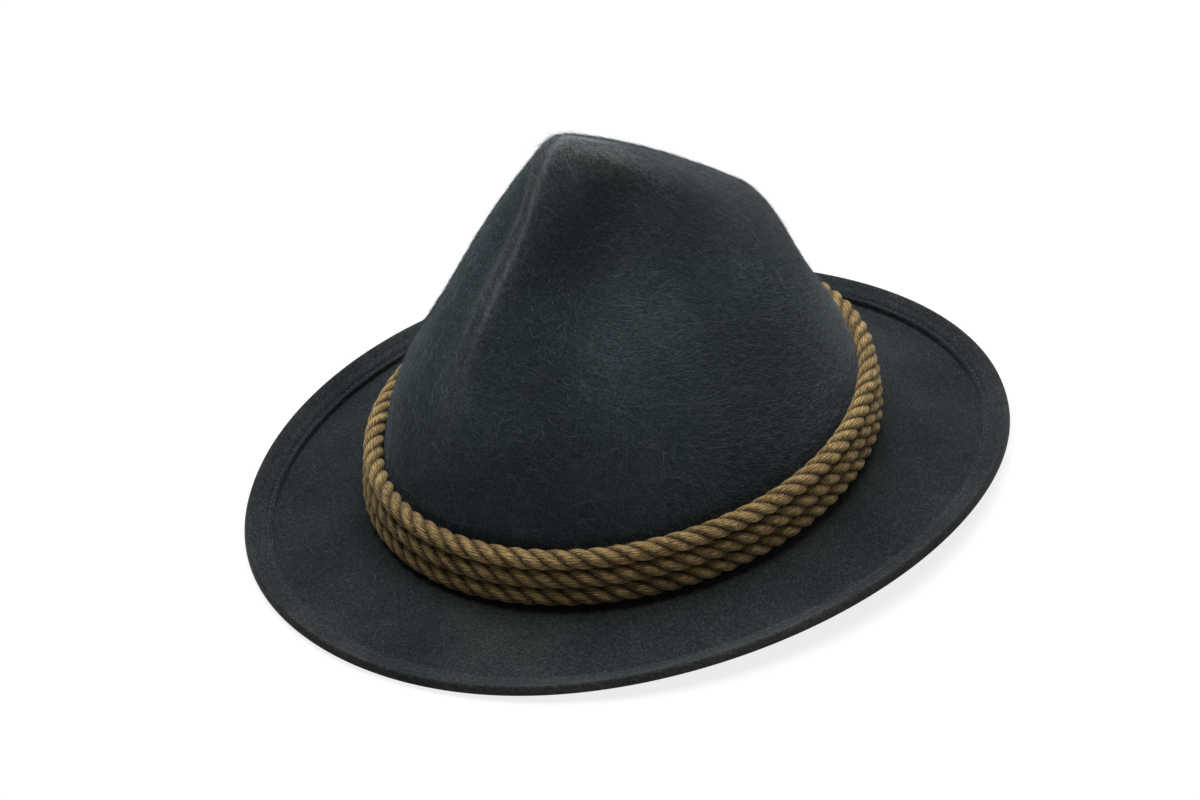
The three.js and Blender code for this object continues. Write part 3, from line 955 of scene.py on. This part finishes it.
for row, name in enumerate(("cord_bottom", "cord_middle", "cord_top")):
    # painted shade: the lower rows are darker
    share = cordLook["rowPaintedShade"][row]
    cordMaterial = makeCordMaterial(name, cordLook, share)
    twisted, strands = buildCord("twisted_" + name, row, cordMaterial)
    growCordHair(name + "_hair", strands, makeHairMaterial(name + " hair", cordHair, share))
    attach(twisted, "root")
    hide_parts(name)
print("three twisted cords")

# Floor, light and camera.
studio = {
    "floorSize": 14.0, "floorColour": (0.13, 0.13, 0.13, 1),
    "floorGlow": 0.82, "glowColour": (1, 1, 1, 1), "roughness": 0.95, "gloss": 0.1,
    "skyColour": (1.0, 1.0, 1.0, 1), "skyStrength": 0.12,
    "lamps": [  # name, place in metres, size in metres, watts, colour
        ("overLamp", (-0.45, 0.22, 2.3), 2.2, 116, (0.97, 1.0, 1.03)),
        ("backLamp", (1.2, 1.4, 1.1), 1.0, 2, (0.95, 0.98, 1.0)),
        ("sideLamp", (-1.6, -0.2, 0.9), 0.8, 2, (0.95, 0.98, 1.0)),
    ],
    "lampTarget": (0, 0, 0.07),
}

photoView = {  # 48 degrees round from the front, 34.5 degrees up, a long lens
    "place": (1.1513, -1.0555, 1.0700), "target": (0, -0.00676, 0.0169),   # metres
    "up": (0, -0.0113, 1),                                                 # the hat's own up
    "sensor": 36.0, "lens": 145.9,                                         # mm
    "shift": (-24.9, 46.0), "pictureWidth": 1200,                          # pixels
}


def makeFloor():
    # a flat square that glows a little, so that it stays white and keeps a faint shadow
    half = studio["floorSize"] / 2
    points = np.array([[-half, -half, 0], [half, -half, 0], [half, half, 0], [-half, half, 0]])
    floor = makeMesh("floor", points, np.array([[0, 1, 2, 3]]), smooth=False)
    material, tree, shader = newMaterial("floor")
    shader.inputs["Base Color"].default_value = studio["floorColour"]
    shader.inputs["Emission Color"].default_value = studio["glowColour"]
    shader.inputs["Emission Strength"].default_value = studio["floorGlow"]
    coat(shader, studio)
    floor.data.materials.append(material)


def lookAt(thing, place, target, up=(0, 0, 1)):
    # columns: right, up and backward of something that faces its target
    forward = (Vector(target) - Vector(place)).normalized()
    right = forward.cross(Vector(up)).normalized()
    above = right.cross(forward)
    thing.matrix_world = Matrix.Translation(place) @ Matrix(
        (right, above, -forward)).transposed().to_4x4()


def makeLights():
    # an even sky and area lamps that all face the hat
    bpy.context.scene.view_settings.view_transform = "Standard"
    world = bpy.data.worlds.new("studio")
    bpy.context.scene.world = world
    world.use_nodes = True
    sky = world.node_tree.nodes["Background"]
    sky.inputs["Color"].default_value = studio["skyColour"]
    sky.inputs["Strength"].default_value = studio["skyStrength"]
    for name, place, size, watts, colour in studio["lamps"]:
        light = bpy.data.lights.new(name, "AREA")
        light.size, light.energy, light.color = size, watts, colour
        lamp = bpy.data.objects.new(name, light)
        bpy.context.collection.objects.link(lamp)
        lookAt(lamp, place, studio["lampTarget"])


def makeCamera():
    # the photo's view; the shift is a share of the picture's width
    camera = bpy.data.cameras.new("camera")
    camera.sensor_width, camera.lens = photoView["sensor"], photoView["lens"]
    camera.shift_x, camera.shift_y = (part / photoView["pictureWidth"]
                                      for part in photoView["shift"])
    holder = bpy.data.objects.new("camera", camera)
    bpy.context.collection.objects.link(holder)
    lookAt(holder, photoView["place"], photoView["target"], photoView["up"])
    bpy.context.scene.camera = holder


makeFloor()
makeLights()
makeCamera()
print("floor, lights and camera")
